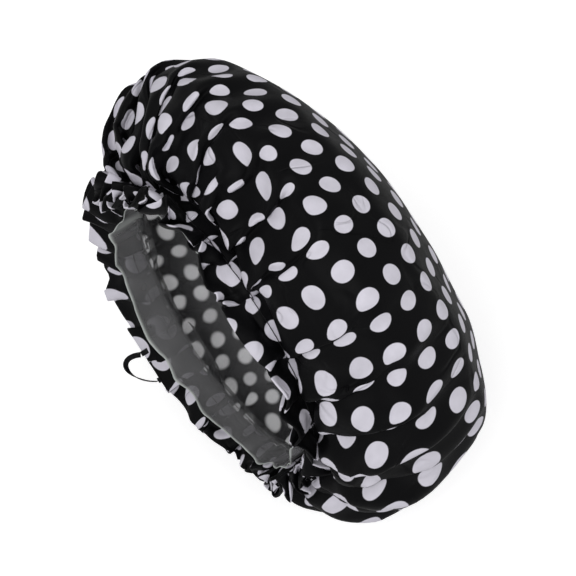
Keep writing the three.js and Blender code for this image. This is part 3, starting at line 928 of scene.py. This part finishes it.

# %% [markdown]
# The film is soft frosted plastic. Seen flat it is mostly clear with hazy patches. Over the casing and at
# its cut edge it is seen along itself and looks much whiter; that whitening is painted, as more opacity
# there and a paler colour at the edge. At the upper left of the mouth a flap of it stands up and catches
# the light, and a painted highlight stands for that: a round patch of the cut there is paler and less clear.

# %% Material: waterproof film
def hazy_film():
    """Hazy plastic: see-through and milkier in patches, with painted whitening past the casing and at its
    edge, where it is seen along itself, and a painted highlight on its flap.
    """
    material, tree, shader = new_material("hazy_film")
    cut = add_node(tree, "UVMap", uv_map="cut"), 0
    far = add_node(tree, "VectorMath", operation="LENGTH", in0=cut), "Value"
    # Painted whitening of the cut edge, which is seen along itself: the last 2.5 mm is paler and more opaque.
    edge = ranged(tree, far, (film_cut_radius - 2.5 * MM, film_cut_radius), (0, 1), "SMOOTHSTEP")
    patches = add_node(tree, "TexNoise", Scale=14.0, Detail=3.0, Vector=cut), "Fac"
    haze = ranged(tree, patches, (0.42, 0.72), (0.28, 0.42), "SMOOTHSTEP")
    # Real hazy patches, plus painted whitening over the casing, where the film is seen along itself.
    rim = film_length - 6 * MM, film_length + 2 * casing_half
    haze_and_painted_whitening = maths(tree, "ADD", haze, ranged(tree, far, rim, (0, 0.22), "SMOOTHSTEP"))
    # Painted highlight: a round patch on the standing flap, which catches the light, is paler and more
    # opaque.
    flap_place = np.array([math.cos(flap_angle), math.sin(flap_angle), 0]) * (film_cut_radius - 4 * MM)
    apart = add_node(tree, "VectorMath", operation="DISTANCE", in0=cut, in1=flap_place), "Value"
    pale = ranged(tree, apart, (30 * MM, 8 * MM), (0, 0.5), "SMOOTHSTEP")
    lift = maths(tree, "MULTIPLY", edge, 0.45)
    paler = maths(tree, "ADD", edge, pale, use_clamp=True)
    # The grey turns paler at the edge and on the flap: painted whitening and a painted highlight.
    tint = add_node(tree, "Mix", data_type="RGBA", in0=paler, in6=(0.185, 0.185, 0.19, 1))
    feed(tree, tint, in7=(0.50, 0.53, 0.51, 1))
    creases = add_node(tree, "TexNoise", Scale=60.0, Detail=5.0, Vector=cut), "Fac"
    bump = add_node(tree, "Bump", Strength=0.35, Distance=1 * MM, Height=creases)
    feed(
        tree, shader, Base_Color=(tint, 2), Normal=(bump, 0), Specular_IOR_Level=0.3,
        Alpha=maths(tree, "ADD", maths(tree, "ADD", haze_and_painted_whitening, pale), lift, use_clamp=True),
        Roughness=ranged(tree, creases, (0, 1), (0.3, 0.5)),
    )
    return material


film_finish = hazy_film()


# %% Materials: elastic, thread and ribbon
def woven_strip(name, colour, roughness, threads, strength):
    """Narrow woven or knitted goods on Object coordinates: threads, uneven tone and a low bump."""
    material, tree, shader = new_material(name)
    place = add_node(tree, "TexCoord"), "Object"
    weave = use_group(tree, weave_group, Place=place, Threads_per_metre=threads, Slub=0.6)
    tone = weave, "Tone"
    toned = add_node(tree, "VectorMath", operation="SCALE", in0=colour)
    feed(tree, toned, Scale=ranged(tree, tone, (0, 1), (0.7, 1.25)))
    bump = add_node(tree, "Bump", Strength=strength, Distance=0.1 * MM, Height=(weave, "Height"))
    feed(
        tree, shader, Base_Color=(toned, 0), Normal=(bump, 0), Specular_IOR_Level=0.1,
        Roughness=ranged(tree, tone, (0, 1), (roughness - 0.08, roughness + 0.08)),
    )
    return material


elastic_finish = woven_strip("knitted_elastic", (0.72, 0.71, 0.67), 0.8, 900.0, 0.6)
thread_finish = woven_strip("black_thread", (0.012, 0.012, 0.013), 0.6, 3000.0, 0.5)
ribbon_finish = woven_strip("black_ribbon", (0.008, 0.008, 0.009), 0.4, 1800.0, 0.4)

# %% [markdown]
# ## Dressing the frame
# The cloth and the film are one mesh each. The cloth stands for the two solids that the frame splits
# it into, and both ride on the body that holds the cap.

# %% The cloth and the film as pieces
lattice_turn = math.radians(46)
cloth = mesh_object("dotted_cloth", cloth_points, disc_faces(cloth_counts))
map_cut(cloth, cloth_radius, cloth_angle, lattice_turn)
finish_sheet(cloth, cloth_thickness, satin_outside, satin_reverse)
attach(cloth, "cap")
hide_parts("outer_fabric", "frill_hem")

liner = mesh_object("film_liner", film_points, disc_faces(film_all_counts))
map_cut(liner, film_all_radius, film_all_angle)
finish_sheet(liner, film_thickness, film_finish, film_finish)
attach(liner, "cap")
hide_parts("waterproof_liner")
print("cloth and film", len(cloth.data.polygons), len(liner.data.polygons), "faces before the subdivision")

# %% [markdown]
# ## Small pieces
# The stitch rows follow the pleated cloth, as they do on the real casing, which is sewn while the
# elastic is stretched and bunches up afterwards. The loop is one narrow ribbon that leaves its seam
# flat and turns a quarter on its way round.

# %% Strips and threads along a path
def swept(name, path, across, through, width, thickness, sides=4, closed=False):
    """A ring of points at each step of a path: an ellipse or, with 4 sides, a flat strip, from the two
    directions across it and their half sizes. The rings are joined by quads and the ends closed."""
    if sides == 4:
        shares = np.array([(-1, -1), (1, -1), (1, 1), (-1, 1)]) / 2
    else:
        turn = np.arange(sides) * 2 * math.pi / sides
        shares = np.stack([np.cos(turn), np.sin(turn)], 1) / 2
    rings = path[:, None] + shares[None, :, :1] * width * across[:, None]
    rings = rings + shares[None, :, 1:] * thickness * through[:, None]
    steps = len(path) if closed else len(path) - 1
    row, side = np.meshgrid(np.arange(steps), np.arange(sides), indexing="ij")
    next_row, next_side = (row + 1) % len(path), (side + 1) % sides
    corners = ((row, side), (row, next_side), (next_row, next_side), (next_row, side))
    faces = np.stack([a * sides + b for a, b in corners], -1).reshape(-1, 4).tolist()
    if not closed:
        faces.append(list(range(sides))[::-1])
        faces.append(list(range((len(path) - 1) * sides, len(path) * sides)))
    return mesh_object(name, rings.reshape(-1, 3), faces)


def turn_outwards(piece):
    """Recalculates a closed mesh's normals so that its faces point out."""
    work = bmesh.new()
    work.from_mesh(piece.data)
    bmesh.ops.recalc_face_normals(work, faces=work.faces)
    work.to_mesh(piece.data)
    work.free()


# %% Stitch rows on the pleated casing
thread_radius = 0.22 * MM
stitches_round = 500
stitch_samples = 4


def stitch_row(name, beyond, side, node):
    """A thread along the casing's middle surface at one distance, moved to the layer's face and out and
    in once a stitch by the square of a sine."""
    steps = stitches_round * stitch_samples
    angle = np.arange(steps) * 2 * math.pi / steps
    around = rim_surface(np.array([beyond - 1 * MM, beyond, beyond + 1 * MM])[:, None], angle[None])
    normal = grid_normals(around)[1]
    rise = np.sin(np.arange(steps) * math.pi / stitch_samples) ** 2
    off = cloth_thickness / 2 + thread_radius * (0.3 + 1.1 * rise)
    layer = casing_layer(around[1], normal, channel_half, side)
    path = layer + normal * (side * off)[:, None] + mouth_centre
    along = np.roll(path, -1, axis=0) - np.roll(path, 1, axis=0)
    along = along / np.linalg.norm(along, axis=1, keepdims=True)
    across = np.cross(along, normal)
    across = across / np.linalg.norm(across, axis=1, keepdims=True)
    through, width = np.cross(across, along), 2 * thread_radius
    piece = swept(name, path, across, through, width, width, sides=5, closed=True)
    turn_outwards(piece)
    piece.data.polygons.foreach_set("use_smooth", np.ones(len(piece.data.polygons), bool))
    piece.data.materials.append(thread_finish)
    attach(piece, "cap")
    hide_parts(node)


stitch_margin = 1.6 * MM
for row, beyond in (("crown", stitch_margin), ("mouth", 2 * casing_half - stitch_margin)):
    for face, side in (("outside", 1), ("inside", -1)):
        stitch_row(f"stitches_{row}_row_{face}", beyond, side, f"casing_thread_{row}_row_{face}")

# %% The hanging loop
loop_span = 20 * MM
loop_reach = 12.5 * MM
loop_skew = 6.5 * MM
ribbon_width = 3.5 * MM
ribbon_thickness = 0.6 * MM
hinge = frame["joints"][0]["pos_m"]


def loop_ribbon():
    """Half an ellipse out of the seam, drawn sideways at its bight: the cosine and the sine of a half
    turn. The ribbon lies flat in the loop's plane on its first strand and turns a quarter round the
    bight, so that the second strand stands on edge."""
    turn = np.linspace(0, math.pi, 49)[:, None]
    axis = np.array([[1.0, 0, 0]])
    outward = np.array([[0, math.cos(loop_angle), math.sin(loop_angle)]])
    sideways = np.array([[0, -math.sin(loop_angle), math.cos(loop_angle)]])
    path = np.array(hinge) - axis * loop_reach * np.sin(turn) + sideways * loop_span / 2 * np.cos(turn)
    path = path + sideways * loop_skew * np.sin(turn)
    along = -sideways * loop_span / 2 * np.sin(turn) - axis * loop_reach * np.cos(turn)
    along = along + sideways * loop_skew * np.cos(turn)
    along = along / np.linalg.norm(along, axis=1, keepdims=True)
    flat = np.cross(along, np.repeat(outward, len(along), 0))
    flat = flat / np.linalg.norm(flat, axis=1, keepdims=True)
    twist = math.pi / 2 * smooth_step(turn, 0.3 * math.pi, 0.8 * math.pi)
    across = flat * np.cos(twist) + outward * np.sin(twist)
    return path, across, np.cross(along, across)


path, across, through = loop_ribbon()
loop = swept("ribbon_loop", path, across, through, ribbon_width, ribbon_thickness)
turn_outwards(loop)
round_edges = loop.modifiers.new("soft_edges", "BEVEL")
round_edges.width, round_edges.segments = 0.15 * MM, 2
loop.data.materials.append(ribbon_finish)
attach(loop, "loop")
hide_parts("hanging_loop")

# %% Carried solids and their finishes
for name, finish in (
    ("elastic_band", elastic_finish), ("elastic_join_stitch", thread_finish),
    ("loop_end_upper", ribbon_finish), ("loop_end_lower", ribbon_finish),
    ("loop_tack_upper", thread_finish), ("loop_tack_lower", thread_finish),
):
    node = frame["nodes"][name]
    node.data.materials.clear()
    node.data.materials.append(finish)

# %% [markdown]
# ## Stage, light and camera
# The photograph shows the cap on plain white. A pale floor runs back to a white world; the floor looks
# a little brighter to the camera than its colour is, so it meets the background without a line, and it
# keeps the cap's shadow.

# %% Floor
def stage_floor():
    """A large pale plane just under the cap."""
    half = 6.0
    corners = [(-half, -half, 0), (half, -half, 0), (half, half, 0), (-half, half, 0)]
    floor = mesh_object("floor", corners, [(0, 1, 2, 3)])
    material, tree, shader = new_material("pale_floor")
    camera_ray = add_node(tree, "LightPath"), "Is Camera Ray"
    feed(
        tree, shader, Base_Color=(0.92, 0.92, 0.92, 1), Roughness=0.9, Specular_IOR_Level=0.1,
        Emission_Color=(1, 1, 1, 1), Emission_Strength=maths(tree, "MULTIPLY", camera_ray, 0.45),
    )
    floor.data.materials.append(material)


stage_floor()


# %% World and lamps
def studio_light():
    """A white world, plain to the camera and weaker as light, and two soft lamps."""
    world = bpy.data.worlds.new("studio")
    world.use_nodes = True
    bpy.context.scene.world = world
    tree = world.node_tree
    camera_ray = add_node(tree, "LightPath"), "Is Camera Ray"
    strength = ranged(tree, camera_ray, (0, 1), (0.55, 1.0))
    feed(tree, tree.nodes["Background"], Color=(1, 1, 1, 1), Strength=strength)
    for name, place, size, power in (
        ("key", (-0.55, -0.35, 1.05), 0.45, 5.0),
        ("fill", (0.7, -0.9, 0.8), 0.9, 1.5),
    ):
        lamp = bpy.data.lights.new(name, "AREA")
        lamp.energy, lamp.size = power, size
        holder = bpy.data.objects.new(name, lamp)
        bpy.context.scene.collection.objects.link(holder)
        holder.location = place
        aim = Vector((0, 0, mouth_centre[2])) - holder.location
        holder.rotation_euler = aim.to_track_quat("-Z", "Y").to_euler()


studio_light()


# %% Camera
camera_azimuth = math.radians(-37.54)
camera_elevation = math.radians(56.37)
camera_distance = 0.795
crown_axis_point = mouth_centre + np.array([45 * MM, 0, 0])


def photo_camera():
    """The photograph's view: from the mouth's side and above, an 85 mm lens at 0.8 m."""
    back = Vector((
        math.sin(camera_azimuth) * math.cos(camera_elevation),
        -math.cos(camera_azimuth) * math.cos(camera_elevation),
        math.sin(camera_elevation),
    ))
    right = Vector((math.cos(camera_azimuth), math.sin(camera_azimuth), 0))
    target = Vector(crown_axis_point) + right * 3.6 * MM + back.cross(right) * 0.75 * MM
    camera = bpy.data.cameras.new("camera")
    camera.lens, camera.sensor_width = 85, 36
    holder = bpy.data.objects.new("camera", camera)
    bpy.context.scene.collection.objects.link(holder)
    holder.location = target + back * camera_distance
    holder.rotation_mode = "QUATERNION"
    holder.rotation_quaternion = (-back).to_track_quat("-Z", "Y")
    bpy.context.scene.camera = holder


photo_camera()
bpy.context.scene.view_settings.view_transform = "Standard"
